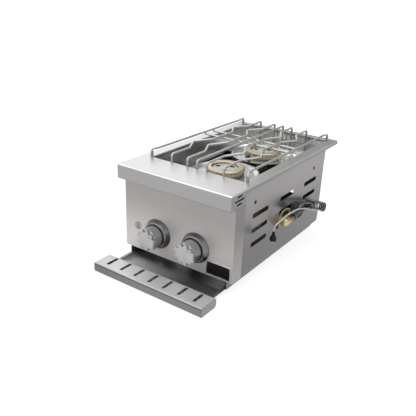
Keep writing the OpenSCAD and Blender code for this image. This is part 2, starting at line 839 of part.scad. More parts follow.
module knob(s) {
    r1 = knob_d / 2;
    r2 = r1 - knob_taper;
    h1 = knob_l - lobe_h;
    block_l = r1 + grip_out - grip_x;
    color(tone_chrome) translate([s * knob_pitch / 2, -knob_back, knob_z]) rotate([90, 0, 0])
        difference() {
            union() {
                rotate_extrude($fn = 96) polygon([[0, h1 - knob_face], [r2 - knob_wall, h1 - knob_face],
                    [r1 - knob_wall, 0], [r1, 0], [r2, h1 - knob_face / 2], [r2 - knob_face / 2, h1], [0, h1]]);
                translate([0, 0, h1 - cut]) linear_extrude(height = lobe_h + cut) star(r1);
                cylinder(d = hub_d, h = h1 - knob_face / 2);
                rotate([0, 0, s > 0 ? grip_turns[1] : grip_turns[0]])
                    translate([grip_x, 0, knob_l - grip_sink]) rotate([90, 0, 0])
                    linear_extrude(height = grip_w, center = true) polygon([[0, 0], [block_l, 0],
                    [block_l, grip_sink + grip_h - grip_cut], [block_l - grip_cut, grip_sink + grip_h],
                    [grip_cut, grip_sink + grip_h], [0, grip_sink + grip_h - grip_cut]]);
            }
            translate([0, 0, -cut]) flat_shaft(stem_d + run_gap * 2, knob_l * 3 / 4, stem_flat);
        }
}

module knob_left() { knob(-1); }
module knob_right() { knob(1); }

module plate_zone(l, t, y) {
    translate([plate_x, -y - t, -body_h + plate_lift]) translate([-l, 0, -l]) cube([plate_w + l * 2, t, plate_h + l * 2]);
}

module nameplate() { color(tone_dark) plate_zone(0, plate_t, 0); }

module nameplate_frame() {
    color(tone_chrome) difference() {
        plate_zone(plate_rim, plate_rim_t, 0);
        translate([0, cut, 0]) plate_zone(0, plate_rim_t + cut * 2, 0);
    }
}

// Paths of the grate's rods: kinked over the burners, or straight, with legs down to the
// well's ledge, or to the feet on the deck
function kinked_path(x, s) = [[x, grate_y0, floor_z], [x, grate_y0, grate_z],
    [x, burner_y - kink_l, grate_z], [x + s * kink_w, burner_y, grate_z], [x, burner_y + kink_l, grate_z],
    [x, rear_y0 - kink_back_l, grate_z], [x + s * kink_w, rear_y0, grate_z],
    [x, rear_y0 + kink_back_l, grate_z], [x, grate_y1, grate_z], [x, grate_y1, floor_z]];
function middle_path() = [[0, grate_y0, floor_z], [0, grate_y0, grate_z], [0, grate_y1, grate_z],
    [0, grate_y1, floor_z]];
function edge_path(s) = [[s * foot_x, grate_y0, foot_top], [s * foot_x, grate_y0, grate_z],
    [s * edge_rod_x, grate_y0 + foot_d * 2, grate_z], [s * edge_rod_x, grate_y1 - foot_d * 2, grate_z],
    [s * foot_x, grate_y1, grate_z], [s * foot_x, grate_y1, foot_top]];

module grate_rods() {
    color(tone_chrome) {
        for (s = [-1, 1]) {
            tube(bends(kinked_path(s * inner_rod_x, s), rod_bend, 3), rod_d, 10, [1, 0, 0]);
            tube(bends(kinked_path(s * outer_rod_x, s), rod_bend, 3), rod_d, 10, [1, 0, 0]);
            tube(bends(edge_path(s), foot_d / 2, 3), rod_d, 10, [1, 0, 0]);
        }
        tube(bends(middle_path(), rod_bend, 3), rod_d, 10, [1, 0, 0]);
    }
}

module grate_bars() {
    color(tone_chrome) for (f = bar_y_shares)
        translate([-edge_rod_x, grate_y0 + (grate_y1 - grate_y0) * f, grate_z - rod_d])
        rotate([0, 90, 0]) cylinder(d = rod_d, h = edge_rod_x * 2);
}

module grate_feet() {
    color(tone_chrome) for (s = [-1, 1], y = [grate_y0, grate_y1])
        translate([s * foot_x, y, rim_h + gap]) cylinder(d = foot_d, h = foot_top - rim_h - gap);
}

rim_x = pan_floor_w / 2 + pan_slope + pan_rim_w;

// Channel under the base that the tray's rim slides in
module tray_rail(s) {
    lip_top = pan_top - sheet - rail_drop;
    color(tone_steel) along_y(sheet, body_d - sheet * 2) {
        translate([s > 0 ? rim_x + gap * 2 : -rim_x - gap * 2 - sheet, lip_top - sheet])
            square([sheet, -body_h - lip_top + sheet]);
        translate([s > 0 ? rim_x + gap * 2 - rail_w / 2 : -rim_x - gap * 2 - sheet, lip_top - sheet])
            square([rail_w / 2 + sheet, sheet]);
        translate([s > 0 ? rim_x + gap * 2 : -rim_x - gap * 2 - rail_w, -body_h - sheet])
            square([rail_w, sheet]);
    }
}

module tray_rail_left() { tray_rail(-1); }
module tray_rail_right() { tray_rail(1); }

module pan_outline(t, h) {
    polygon([[-pan_floor_w / 2 - t, pan_top - pan_h - t], [pan_floor_w / 2 + t, pan_top - pan_h - t],
        [pan_floor_w / 2 + t + pan_slope, pan_top + h], [-pan_floor_w / 2 - t - pan_slope, pan_top + h]]);
}

// Pan with sloping sides and a flat rim
module tray_pan() {
    y0 = handle_y1 + gap;
    color(tone_steel) {
        along_y(y0, pan_l) {
            difference() {
                pan_outline(sheet, 0);
                pan_outline(0, 0);
                translate([-rim_x, pan_top]) square([rim_x * 2, cut]);
            }
            for (s = [-1, 1]) translate([s > 0 ? pan_floor_w / 2 + pan_slope : -rim_x, pan_top - sheet])
                square([pan_rim_w, sheet]);
        }
        for (y = [y0, y0 + pan_l - sheet]) along_y(y, sheet) pan_outline(sheet, 0);
    }
}

// Side view of the handle, shrunk by t: soft rear corners and a groove under the top sheet
module handle_outline(t) {
    h = handle_h - t * 2;
    d = handle_d - t * 2;
    r = handle_back_r - t;
    b = bend_r - t;
    translate([handle_y0 + t, handle_top - handle_h + t]) difference() {
        union() {
            translate([b, 0]) square([d - b - r, h]);
            translate([0, b]) square([d / 2, h - b * 2]);
            translate([d / 2, r]) square([d / 2, h - r * 2]);
            for (z = [b, h - b]) translate([b, z]) circle(r = b);
            for (z = [r, h - r]) translate([d - r, z]) circle(r = r);
        }
        translate([-t - cut, h + t - handle_groove_drop - handle_groove - t])
            square([cut + handle_groove_in + t, handle_groove + t * 2]);
    }
}

// Closed box handle across the tray's front, slotted on top
module tray_handle() {
    color(tone_steel) difference() {
        along_x(handle_w) handle_outline(0);
        along_x(handle_w - sheet * 2) handle_outline(sheet);
        for (i = [-3 : 3]) translate([i * grip_pitch, handle_y0 + handle_d * slot_y_share + grip_slot_l / 2,
            handle_top - sheet - cut]) linear_extrude(height = sheet + cut * 2)
            rotate(90) rounded(grip_slot_l, grip_slot_w, slot_r);
    }
}

// Brass elbow outside the right panel, its arm towards the rear
module inlet_elbow() {
    x = side_x + elbow_out;
    color(tone_brass) {
        translate([side_x + gap, gas_y, gas_z]) rotate([0, 90, 0]) cylinder(d = elbow_d, h = elbow_out - gap);
        translate([side_x + gap, gas_y, gas_z]) rotate([0, 90, 0]) cylinder(d = hex_d, h = hex_h, $fn = 6);
        translate([side_x - sheet, gas_y, gas_z]) rotate([0, 90, 0]) cylinder(d = gas_hole_d - gap * 2, h = sheet + cut);
        translate([x, gas_y, gas_z]) sphere(d = elbow_d);
        rod_y([x, gas_y, gas_z], elbow_d - sheet * 2, elbow_l);
        rod_y([x, gas_y + elbow_l - hex_h / 2, gas_z], elbow_d + sheet, hex_h / 2);
    }
}

module inlet_nut() {
    l1 = nut_l * nut_share;
    color(tone_chrome) rod_y([side_x + elbow_out, gas_y + elbow_l, gas_z], elbow_d + gap, l1);
    color(tone_chrome) rod_y([side_x + elbow_out, gas_y + elbow_l + l1, gas_z], fit_d, nut_l - l1);
}

module inlet_seal() {
    color(tone_dark) rod_y([side_x + elbow_out, gas_y + elbow_l + nut_l, gas_z], seal_d, seal_l);
}

// Pale sleeve over a dark threaded core
module inlet_sleeve() {
    y = gas_y + elbow_l + nut_l + seal_l;
    x = side_x + elbow_out;
    color([0.55, 0.6, 0.5]) difference() {
        rod_y([x, y, gas_z - sleeve_sink / 2], sleeve_d, sleeve_l);
        rod_y([x, y + sleeve_l - core_back, gas_z - sleeve_sink / 2], core_d, sleeve_l);
        translate([x + sleeve_d / 2 - window_in, y + (sleeve_l - core_back - window_l) / 2,
            gas_z - sleeve_sink / 2 - window_h / 2]) cube([sleeve_d, window_l, window_h]);
    }
}

module cable_grommet() {
    color(tone_dark) difference() {
        union() {
            translate([side_x, cable_y, cable_z]) rotate([0, 90, 0]) cylinder(d = grommet_d, h = grommet_h);
            translate([side_x - sheet * 2, cable_y, cable_z]) rotate([0, 90, 0])
                cylinder(d = cable_hole_d - gap * 2, h = sheet * 3);
        }
        translate([side_x - sheet * 3, cable_y, cable_z]) rotate([0, 90, 0])
            cylinder(d = grommet_bore, h = grommet_h + sheet * 5);
    }
}

// Hank of mains cable: loops stacked outwards from the side, with round folds at both
// ends and runs that draw in to the tie
hank_u = unit(hank_axis);
hank_v = cross([1, 0, 0], hank_u);
hank_half = norm(hank_axis) / 2 - hank_r;
function hank_q(u) = hank_waist + (hank_r - hank_waist) * u * u * (3 - 2 * abs(u));
function hank_loop(f) = f < fold_share ? let (a = 180 - f / fold_share * 90)
    [-hank_half + hank_r * cos(a), hank_r * sin(a)]
    : f < 0.5 - fold_share ? let (u = (f - fold_share) / (0.25 - fold_share) - 1) [hank_half * u, hank_q(u)]
    : f < 0.5 + fold_share ? let (a = 90 - (f - 0.5 + fold_share) / fold_share * 90)
    [hank_half + hank_r * cos(a), hank_r * sin(a)]
    : f < 1 - fold_share ? let (u = 1 - (f - 0.5 - fold_share) / (0.25 - fold_share)) [hank_half * u, -hank_q(u)]
    : let (a = -90 - (f - 1 + fold_share) / fold_share * 90) [-hank_half + hank_r * cos(a), hank_r * sin(a)];
function hank_at(t) = let (c = hank_loop(t - floor(t)), k = c[0] / norm(hank_axis) * 2)
    hank_start + hank_axis / 2 + hank_u * c[0] + hank_v * c[1] + [hank_pitch * t, 0, hank_arch * pow(1 - k * k, 2)];
hank_path = [for (k = [0 : hank_turns * hank_steps]) hank_at(k / hank_steps)];
hank_end = hank_path[len(hank_path) - 1];
hank_out = unit(hank_end - hank_path[len(hank_path) - 2]);
hank_self_gap = min([for (i = [0 : len(hank_path) - 1], j = [0 : len(hank_path) - 1])
    if (j - i > hank_steps / 3) norm(hank_path[i] - hank_path[j])]) - cable_d;
echo(hank_self_gap = hank_self_gap);
echo(hank_end = hank_end, hank_out = hank_out);

module cable_hank() { color(tone_dark) tube(concat(smooth(tail_route, 3), hank_path), cable_d, 6); }

module hank_tie() {
    h = hank_waist * 2 + cable_d + gap * 4;
    w = hank_pitch * floor(hank_turns) + cable_d + gap * 4;
    tie_r = cable_d / 2 + gap * 2;
    color(tone_dark) translate(hank_start + hank_axis / 2 + [(floor(hank_turns) / 2 + 0.25) * hank_pitch, 0, hank_arch])
        rotate([-atan2(-hank_axis[2], hank_axis[1]), 0, 0]) rotate([90, 0, 0])
        linear_extrude(height = tie_w, center = true) difference() {
            rounded(w + tie_t * 2, h + tie_t * 2, tie_r + tie_t);
            rounded(w, h, tie_r);
        }
}

module earth_wire() { color([0.7, 0.75, 0.2]) tube(smooth(earth_route, 4), earth_d, 8); }

module earth_terminal() {
    color(tone_chrome) translate([side_x + gap / 3, terminal_y, terminal_z]) rotate([0, 90, 0])
        cylinder(d = terminal_d, h = terminal_t);
    color(tone_dark) translate([side_x + gap / 3 + terminal_t, terminal_y, terminal_z]) rotate([0, 90, 0])
        cylinder(d = terminal_screw_d, h = terminal_t * 2);
}

module white_lead() {
    color([0.9, 0.9, 0.88]) tube(smooth(concat([hank_end + hank_out * gap], lead_route,
        [plug_top + [0, 0, gap / 3]]), 4), lead_d, 8);
}

// Moulded plug that hangs at the end of the lead
module lead_plug() {
    color(tone_dark) translate(plug_top) rotate([0, 180, 0]) {
        rotate_extrude() polygon([[0, 0], [plug_neck_d / 2, 0], [plug_neck_d / 2, plug_l / 5],
            [plug_d / 2, plug_l * 0.7], [plug_d / 2, plug_l - plug_neck_d / 4],
            [plug_d / 2 - plug_neck_d / 4, plug_l], [0, plug_l]]);
        for (s = [-1, 1]) translate([0, s * pin_gap / 2, plug_l - cut]) cylinder(d = pin_d, h = pin_l + cut);
    }
}

top_trim();
front_panel();
side_panel_left();
side_panel_right();
rear_panel();
base_pan();
firebox();
burner_supports();
dish_front();
dish_rear();
dish_screws();
burner_base_front();
burner_base_rear();
burner_crown_front();
burner_crown_rear();
igniter_front();
igniter_rear();
gas_manifold();
valve_left();
valve_right();
gas_tube_left();
gas_tube_right();
stem_left();
stem_right();
collar_left();
collar_right();
bezel_left();
bezel_right();
seal_left();
seal_right();
knob_left();
knob_right();
nameplate();
nameplate_frame();
grate_rods();
grate_bars();
grate_feet();
tray_rail_left();
tray_rail_right();
tray_pan();
tray_handle();
inlet_elbow();
inlet_nut();
inlet_seal();
inlet_sleeve();
cable_grommet();
cable_hank();
hank_tie();
earth_wire();
earth_terminal();
white_lead();
lead_plug();
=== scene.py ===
import bpy, bmesh, math
from mathutils import Matrix, Vector


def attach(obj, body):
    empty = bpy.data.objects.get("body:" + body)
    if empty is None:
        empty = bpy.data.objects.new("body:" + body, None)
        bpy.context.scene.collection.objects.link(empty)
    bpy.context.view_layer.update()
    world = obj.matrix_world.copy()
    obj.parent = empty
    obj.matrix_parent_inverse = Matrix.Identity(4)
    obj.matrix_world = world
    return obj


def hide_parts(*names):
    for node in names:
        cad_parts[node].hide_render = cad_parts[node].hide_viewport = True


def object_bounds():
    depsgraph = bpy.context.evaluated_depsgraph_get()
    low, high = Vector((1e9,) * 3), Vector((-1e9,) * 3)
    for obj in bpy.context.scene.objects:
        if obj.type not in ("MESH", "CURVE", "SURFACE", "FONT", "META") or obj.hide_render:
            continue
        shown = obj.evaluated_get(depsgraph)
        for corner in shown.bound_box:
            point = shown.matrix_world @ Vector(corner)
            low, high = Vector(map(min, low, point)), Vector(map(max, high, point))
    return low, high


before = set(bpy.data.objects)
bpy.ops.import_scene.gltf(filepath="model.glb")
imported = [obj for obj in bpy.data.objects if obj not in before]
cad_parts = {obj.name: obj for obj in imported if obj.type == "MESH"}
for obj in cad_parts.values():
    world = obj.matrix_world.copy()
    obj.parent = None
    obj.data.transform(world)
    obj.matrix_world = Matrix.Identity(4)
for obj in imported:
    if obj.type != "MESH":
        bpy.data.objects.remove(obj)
cadBox = [list(corner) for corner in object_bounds()]
scene = bpy.context.scene
mm = 0.001

camera = {
    "place": (0.7515, -0.9680, 0.4603),               # metres
    "turn": 34.194, "rise": 23.427, "roll": 2.369,    # degrees
    "lens": 46.31, "sensor": 36,                      # millimetres
    "sight": 200,                                     # metres
}


def makeCamera(c):
    turn, rise, roll = (math.radians(c[k]) for k in ("turn", "rise", "roll"))
    level = math.cos(rise)
    back = Vector((math.sin(turn) * level, -math.cos(turn) * level, math.sin(rise)))
    right = (-back).cross(Vector((0, 0, 1))).normalized()
    up = right.cross(-back)
    right, up = (right * math.cos(roll) + up * math.sin(roll),
                 up * math.cos(roll) - right * math.sin(roll))
    data = bpy.data.cameras.new("camera")
    data.lens, data.sensor_width, data.clip_end = c["lens"], c["sensor"], c["sight"]
    made = bpy.data.objects.new("camera", data)
    turned = Matrix((right, up, back)).transposed().to_4x4()
    made.matrix_world = Matrix.Translation(c["place"]) @ turned
    scene.collection.objects.link(made)
    scene.camera = made


makeCamera(camera)


def node(tree, kind, place=(0, 0), **values):
    made = tree.nodes.new(kind)
    made.location = place
    for key, value in values.items():
        setattr(made, key, value)
    return made


def newMaterial(name, color, metallic=0.0, roughness=0.5, **more):
    material = bpy.data.materials.new(name)
    material.use_nodes = True
    shader = material.node_tree.nodes["Principled BSDF"]
    shader.inputs["Base Color"].default_value = (*color, 1)
    shader.inputs["Metallic"].default_value = metallic
    shader.inputs["Roughness"].default_value = roughness
    for key, value in more.items():
        shader.inputs[key.replace("_", " ")].default_value = value
    return material


grainLook = {"lineDetail": 5, "lineShare": 0.6, "height": 0.0004,
             "cloudScale": 7, "cloudDetail": 3, "cloudShare": 0.4}


def makeGrainGroup(g):
    # lines along one direction and soft clouds, both on the piece's own coordinates
    tree = bpy.data.node_groups.new("brushedGrain", "ShaderNodeTree")
    sockets = {"Stretch": ("Vector", (60, 1500, 1500)), "Depth": ("Float", 0.2),
               "Dark": ("Color", (0.3, 0.3, 0.3, 1)), "Light": ("Color", (0.4, 0.4, 0.4, 1)),
               "RoughLow": ("Float", 0.25), "RoughHigh": ("Float", 0.4),
               "Surface": ("Vector", (0, 0, 0))}
    for name, (kind, value) in sockets.items():
        made = tree.interface.new_socket(name, in_out="INPUT", socket_type="NodeSocket" + kind)
        made.default_value = value
    for name, kind in (("Color", "Color"), ("Roughness", "Float"), ("Normal", "Vector")):
        tree.interface.new_socket(name, in_out="OUTPUT", socket_type="NodeSocket" + kind)
    inputs = node(tree, "NodeGroupInput", (-900, 0))
    outputs = node(tree, "NodeGroupOutput", (500, 0))
    place = node(tree, "ShaderNodeTexCoord", (-900, 300))
    scale = node(tree, "ShaderNodeVectorMath", (-700, 200), operation="MULTIPLY")
    grain = node(tree, "ShaderNodeTexNoise", (-500, 200))
    grain.inputs["Scale"].default_value = 1
    grain.inputs["Detail"].default_value = g["lineDetail"]
    cloud = node(tree, "ShaderNodeTexNoise", (-500, -200))
    cloud.inputs["Scale"].default_value = g["cloudScale"]
    cloud.inputs["Detail"].default_value = g["cloudDetail"]
    cloudShare = node(tree, "ShaderNodeMath", (-400, -300), operation="MULTIPLY")
    cloudShare.inputs[1].default_value = g["cloudShare"]
    both = node(tree, "ShaderNodeMath", (-300, 0), operation="MULTIPLY_ADD")
    both.inputs[1].default_value = g["lineShare"]
    colors = node(tree, "ShaderNodeMix", (0, 200), data_type="RGBA")
    rough = node(tree, "ShaderNodeMapRange", (0, -100))
    bump = node(tree, "ShaderNodeBump", (0, -400))
    bump.inputs["Distance"].default_value = g["height"]
    link = tree.links.new
    link(place.outputs["Object"], scale.inputs[0])
    link(inputs.outputs["Stretch"], scale.inputs[1])
    link(scale.outputs[0], grain.inputs["Vector"])
    link(place.outputs["Object"], cloud.inputs["Vector"])
    link(cloud.outputs["Fac"], cloudShare.inputs[0])
    link(grain.outputs["Fac"], both.inputs[0])
    link(cloudShare.outputs[0], both.inputs[2])
    link(both.outputs[0], colors.inputs["Factor"])
    link(inputs.outputs["Dark"], colors.inputs["A"])
    link(inputs.outputs["Light"], colors.inputs["B"])
    link(both.outputs[0], rough.inputs["Value"])
    link(inputs.outputs["RoughLow"], rough.inputs["To Min"])
    link(inputs.outputs["RoughHigh"], rough.inputs["To Max"])
    link(grain.outputs["Fac"], bump.inputs["Height"])
    link(inputs.outputs["Depth"], bump.inputs["Strength"])
    link(inputs.outputs["Surface"], bump.inputs["Normal"])
    link(colors.outputs["Result"], outputs.inputs["Color"])
    link(rough.outputs["Result"], outputs.inputs["Roughness"])
    link(bump.outputs["Normal"], outputs.inputs["Normal"])
    return tree


grainGroup = makeGrainGroup(grainLook)


def brushedMetal(name, dark, light, grain, rough, depth=0.15, edge=0.0, metal=1.0, paintedShading=()):
    # grain is the fineness of the lines along x, y and z, edge the radius in metres
    # that catches light on the piece's corners, and each painted shading an axis, two places
    # on it in metres and the share of the tone at each, painting light and shade on the piece
    material = newMaterial(name, light, metal, 0.3)
    tree = material.node_tree
    shader = tree.nodes["Principled BSDF"]
    group = node(tree, "ShaderNodeGroup", (-300, 0), node_tree=grainGroup)
    group.inputs["Stretch"].default_value = grain
    group.inputs["Depth"].default_value = depth
    group.inputs["Dark"].default_value = (*dark, 1)
    group.inputs["Light"].default_value = (*light, 1)
    group.inputs["RoughLow"].default_value, group.inputs["RoughHigh"].default_value = rough
    if edge:
        surface = node(tree, "ShaderNodeBevel", (-600, -200), samples=4)
        surface.inputs["Radius"].default_value = edge
    else:
        surface = node(tree, "ShaderNodeNewGeometry", (-600, -200))
    tree.links.new(surface.outputs["Normal"], group.inputs["Surface"])
    place = node(tree, "ShaderNodeTexCoord", (-900, 300))
    split = node(tree, "ShaderNodeSeparateXYZ", (-700, 300))
    tree.links.new(place.outputs["Object"], split.inputs[0])
    tone = group.outputs["Color"]
    # each painted shading scales the tone along one axis: painted light and shade
    for step, (axis, *values) in enumerate(paintedShading):
        ramp = node(tree, "ShaderNodeMapRange", (-500, 300 + 200 * step),
                    interpolation_type="SMOOTHSTEP")
        for key, value in zip(("From Min", "From Max", "To Min", "To Max"), values):
            ramp.inputs[key].default_value = value
        scaled = node(tree, "ShaderNodeVectorMath", (-100, 200 + 200 * step),
                      operation="SCALE")
        tree.links.new(split.outputs[axis], ramp.inputs["Value"])
        tree.links.new(tone, scaled.inputs[0])
        tree.links.new(ramp.outputs["Result"], scaled.inputs["Scale"])
        tone = scaled.outputs[0]
    tree.links.new(tone, shader.inputs["Base Color"])
    tree.links.new(group.outputs["Roughness"], shader.inputs["Roughness"])
    tree.links.new(group.outputs["Normal"], shader.inputs["Normal"])
    return material


def softMatter(name, dark, light, scale, rough, depth=0.1, height=0.0005, shine=0.5):
    # matt or glossy stuff without a direction, with fine specks in tone and height
    material = newMaterial(name, light, 0, rough, Specular_IOR_Level=shine)
    tree = material.node_tree
    shader = tree.nodes["Principled BSDF"]
    place = node(tree, "ShaderNodeTexCoord", (-900, 0))
    speck = node(tree, "ShaderNodeTexNoise", (-700, 0))
    speck.inputs["Scale"].default_value = scale
    colors = node(tree, "ShaderNodeMix", (-400, 100), data_type="RGBA")
    colors.inputs["A"].default_value = (*dark, 1)
    colors.inputs["B"].default_value = (*light, 1)
    bump = node(tree, "ShaderNodeBump", (-400, -200))
    bump.inputs["Strength"].default_value = depth
    bump.inputs["Distance"].default_value = height
    tree.links.new(place.outputs["Object"], speck.inputs["Vector"])
    tree.links.new(speck.outputs["Fac"], colors.inputs["Factor"])
    tree.links.new(speck.outputs["Fac"], bump.inputs["Height"])
    tree.links.new(colors.outputs["Result"], shader.inputs["Base Color"])
    tree.links.new(bump.outputs["Normal"], shader.inputs["Normal"])
    return material


def grey(tone):
    return (tone,) * 3


alongX, alongY, allWays = (25, 1400, 1400), (1400, 25, 1400), (300, 300, 300)
sidePanel = {"dark": (0.27, 0.258, 0.255), "light": (0.34, 0.326, 0.322), "rough": (0.25, 0.36),
             "metal": 0.7}
panelPaintedShade = ("Z", -0.17, -0.02, 0.55, 1.0)   # painted shade: side and rear panels darker towards the bottom

metals = {
    "deckSteel": {
        "dark": (0.36, 0.355, 0.352), "light": (0.45, 0.445, 0.44), "grain": alongX,
        "rough": (0.32, 0.4), "edge": 0.0022, "metal": 0.7,
        "paintedShading": [
            ("Z", 0.0104, 0.01065, 2.1, 1.16),      # painted highlight along the front fold
            ("Z", 0.0084, 0.009, 0.4, 1.0),         # painted shade on the lip, the skirt, the slot walls and the inner faces below the fold
            ("Y", -0.02598, -0.0257, 1.05, 1.0),    # painted light: front face of the lip a little lighter
            ("X", 0.17485, 0.17498, 1.0, 0.75),     # painted shade on the right face
            ("Y", 0.5742, 0.575, 1.0, 0.9),         # painted shade on the rear face
        ],
    },
    "frontSteel": {
        "dark": (0.345, 0.33, 0.327), "light": (0.425, 0.407, 0.402), "grain": alongX,
        "rough": (0.36, 0.48), "metal": 0.5,
        "paintedShading": [
            ("X", 0.1715, 0.174, 1.0, 0.68),        # painted shade on the return on the right side
            ("Z", -0.215, -0.06, 1.7, 1.0),         # painted light: lower part lighter
        ],
    },
    "rightSteel": {**sidePanel, "grain": alongY,
                   "paintedShading": [panelPaintedShade, ("X", 0.1739, 0.1747, 0.3, 1.0)]},      # painted shade on the inner face
    "leftSteel": {**sidePanel, "grain": alongY,
                  "paintedShading": [panelPaintedShade, ("X", -0.1747, -0.1739, 1.0, 0.3)]},     # painted shade on the inner face
    "rearSteel": {**sidePanel, "grain": alongX,
                  "paintedShading": [panelPaintedShade, ("Y", 0.4859, 0.4867, 0.3, 1.0)]},       # painted shade on the inner face
    # darker than the other steels: on the pieces inside the body this tone is painted shade
    "plainSteel": {"dark": (0.18, 0.18, 0.175), "light": (0.25, 0.25, 0.245), "grain": alongX,
                   "rough": (0.35, 0.5), "metal": 0.7},
    "wellSteel": {
        "dark": (0.46, 0.455, 0.45), "light": (0.62, 0.615, 0.61), "grain": alongX,
        "rough": (0.2, 0.34), "metal": 0.7,
        "paintedShading": [
            ("Y", 0.4, 0.57, 0.92, 1.45),           # painted light: rear end of the well lighter
            ("Y", 0.5606, 0.5611, 1.0, 0.45),       # painted shade on the outer face of its rear wall
        ],
    },
    "dishSteel": {"dark": (0.5, 0.495, 0.49), "light": (0.7, 0.69, 0.68), "grain": allWays,
                  "rough": (0.14, 0.28), "depth": 0.05, "metal": 0.8},
    "traySteel": {
        "dark": (0.5, 0.49, 0.48), "light": (0.98, 0.97, 0.96), "grain": alongY,
        "rough": (0.12, 0.24), "depth": 0.05, "metal": 0.25,
        "paintedShading": [
            ("X", -0.13, 0.08, 1.0, 0.2),           # painted light and shade on the floor: lit at the left, shaded towards the right
            ("X", -0.148, -0.136, 0.3, 1.0),        # painted shade on the left wall
            ("Y", -0.014, 0.02, 1.0, 0.2),          # painted shade on the part under the front panel
        ],
    },
    "handleSteel": {
        "dark": (0.34, 0.335, 0.332), "light": (0.46, 0.455, 0.45), "grain": alongX,
        "rough": (0.35, 0.5), "edge": 0.0012, "metal": 0.4,
        "paintedShading": [
            ("Y", -0.1250, -0.1235, 0.55, 1.4),     # painted shade on the front face, painted light on the top
            ("X", 0.1705, 0.172, 1.0, 0.6),         # painted shade on the right end
            ("X", -0.17, -0.02, 0.88, 1.1),         # painted light: lighter from left to right
        ],
    },
    "rodSteel": {"dark": (0.42, 0.42, 0.415), "light": (0.64, 0.64, 0.63), "grain": allWays,
                 "rough": (0.24, 0.4), "depth": 0.08, "metal": 0.6,
                 "paintedShading": [("Y", 0.534, 0.552, 1.0, 0.4)]},                     # painted shade on the rear legs
    "knobChrome": {"dark": grey(0.4), "light": (0.5, 0.5, 0.495), "grain": (500, 40, 500),
                   "rough": (0.24, 0.34), "depth": 0.05, "edge": 0.0008, "metal": 0.75},
    "bezelChrome": {"dark": grey(0.13), "light": (0.26, 0.26, 0.255), "grain": allWays,
                    "rough": (0.2, 0.34), "depth": 0.05, "edge": 0.0008},
    "screwChrome": {"dark": grey(0.6), "light": grey(0.75), "grain": allWays,
                    "rough": (0.1, 0.2), "depth": 0.05, "edge": 0.0003},
    "castAlloy": {"dark": (0.40, 0.40, 0.39), "light": (0.62, 0.61, 0.6), "grain": (900, 900, 900),
                  "rough": (0.35, 0.55), "depth": 0.4,
                  "paintedShading": [("Z", -0.04, -0.028, 0.25, 1.0)]},                  # painted shadow on the foot of the cup
    "crownBrass": {"dark": (0.38, 0.33, 0.21), "light": (0.64, 0.57, 0.41), "grain": allWays,
                   "rough": (0.28, 0.42), "depth": 0.2, "edge": 0.0004},
    "fittingBrass": {"dark": (0.48, 0.38, 0.19), "light": (0.84, 0.66, 0.41), "grain": allWays,
                     "rough": (0.3, 0.45), "depth": 0.1, "edge": 0.0006, "metal": 0.8},
    "darkScrew": {"dark": (0.04, 0.04, 0.038), "light": (0.1, 0.1, 0.095), "grain": allWays,
                  "rough": (0.3, 0.45), "depth": 0.1, "edge": 0.0003},
    "pipeAlloy": {"dark": (0.45, 0.45, 0.44), "light": (0.6, 0.6, 0.58), "grain": alongY,
                  "rough": (0.3, 0.45), "depth": 0.1},
    "weldSteel": {"dark": (0.2, 0.19, 0.18), "light": (0.5, 0.49, 0.47), "grain": (700, 700, 700),
                  "rough": (0.3, 0.5), "depth": 0.3},
}
softs = {
    "blackPlastic": {"dark": grey(0.003), "light": grey(0.009), "scale": 500, "rough": 0.4,
                     "shine": 0.2},
    "blackRubber": {"dark": grey(0.008), "light": grey(0.02), "scale": 600, "rough": 0.6},
    "cableJacket": {"dark": grey(0.018), "light": grey(0.04), "scale": 300, "rough": 0.4},
    "whiteJacket": {"dark": (0.62, 0.6, 0.57), "light": (0.78, 0.76, 0.73), "scale": 200,
                    "rough": 0.45},
    "earthJacket": {"dark": (0.4, 0.42, 0.08), "light": (0.62, 0.64, 0.2), "scale": 150,
                    "rough": 0.45},
    "paleSleeve": {"dark": (0.3, 0.34, 0.24), "light": (0.45, 0.5, 0.38), "scale": 150,
                   "rough": 0.4},
    "darkThread": {"dark": (0.008, 0.012, 0.006), "light": (0.03, 0.04, 0.02), "scale": 300,
                   "rough": 0.4},
    "ceramicGlaze": {"dark": (0.02, 0.018, 0.015), "light": (0.05, 0.045, 0.04), "scale": 300,
                     "rough": 0.3},
    "markPaint": {"dark": (0.42, 0.415, 0.41), "light": (0.6, 0.59, 0.58), "scale": 250,
                  "rough": 0.5},
    "printInk": {"dark": grey(0.015), "light": grey(0.04), "scale": 900, "rough": 0.6},
}
materials = {name: brushedMetal(name, **look) for name, look in metals.items()}
materials.update({name: softMatter(name, **look) for name, look in softs.items()})
print("stage: materials made")

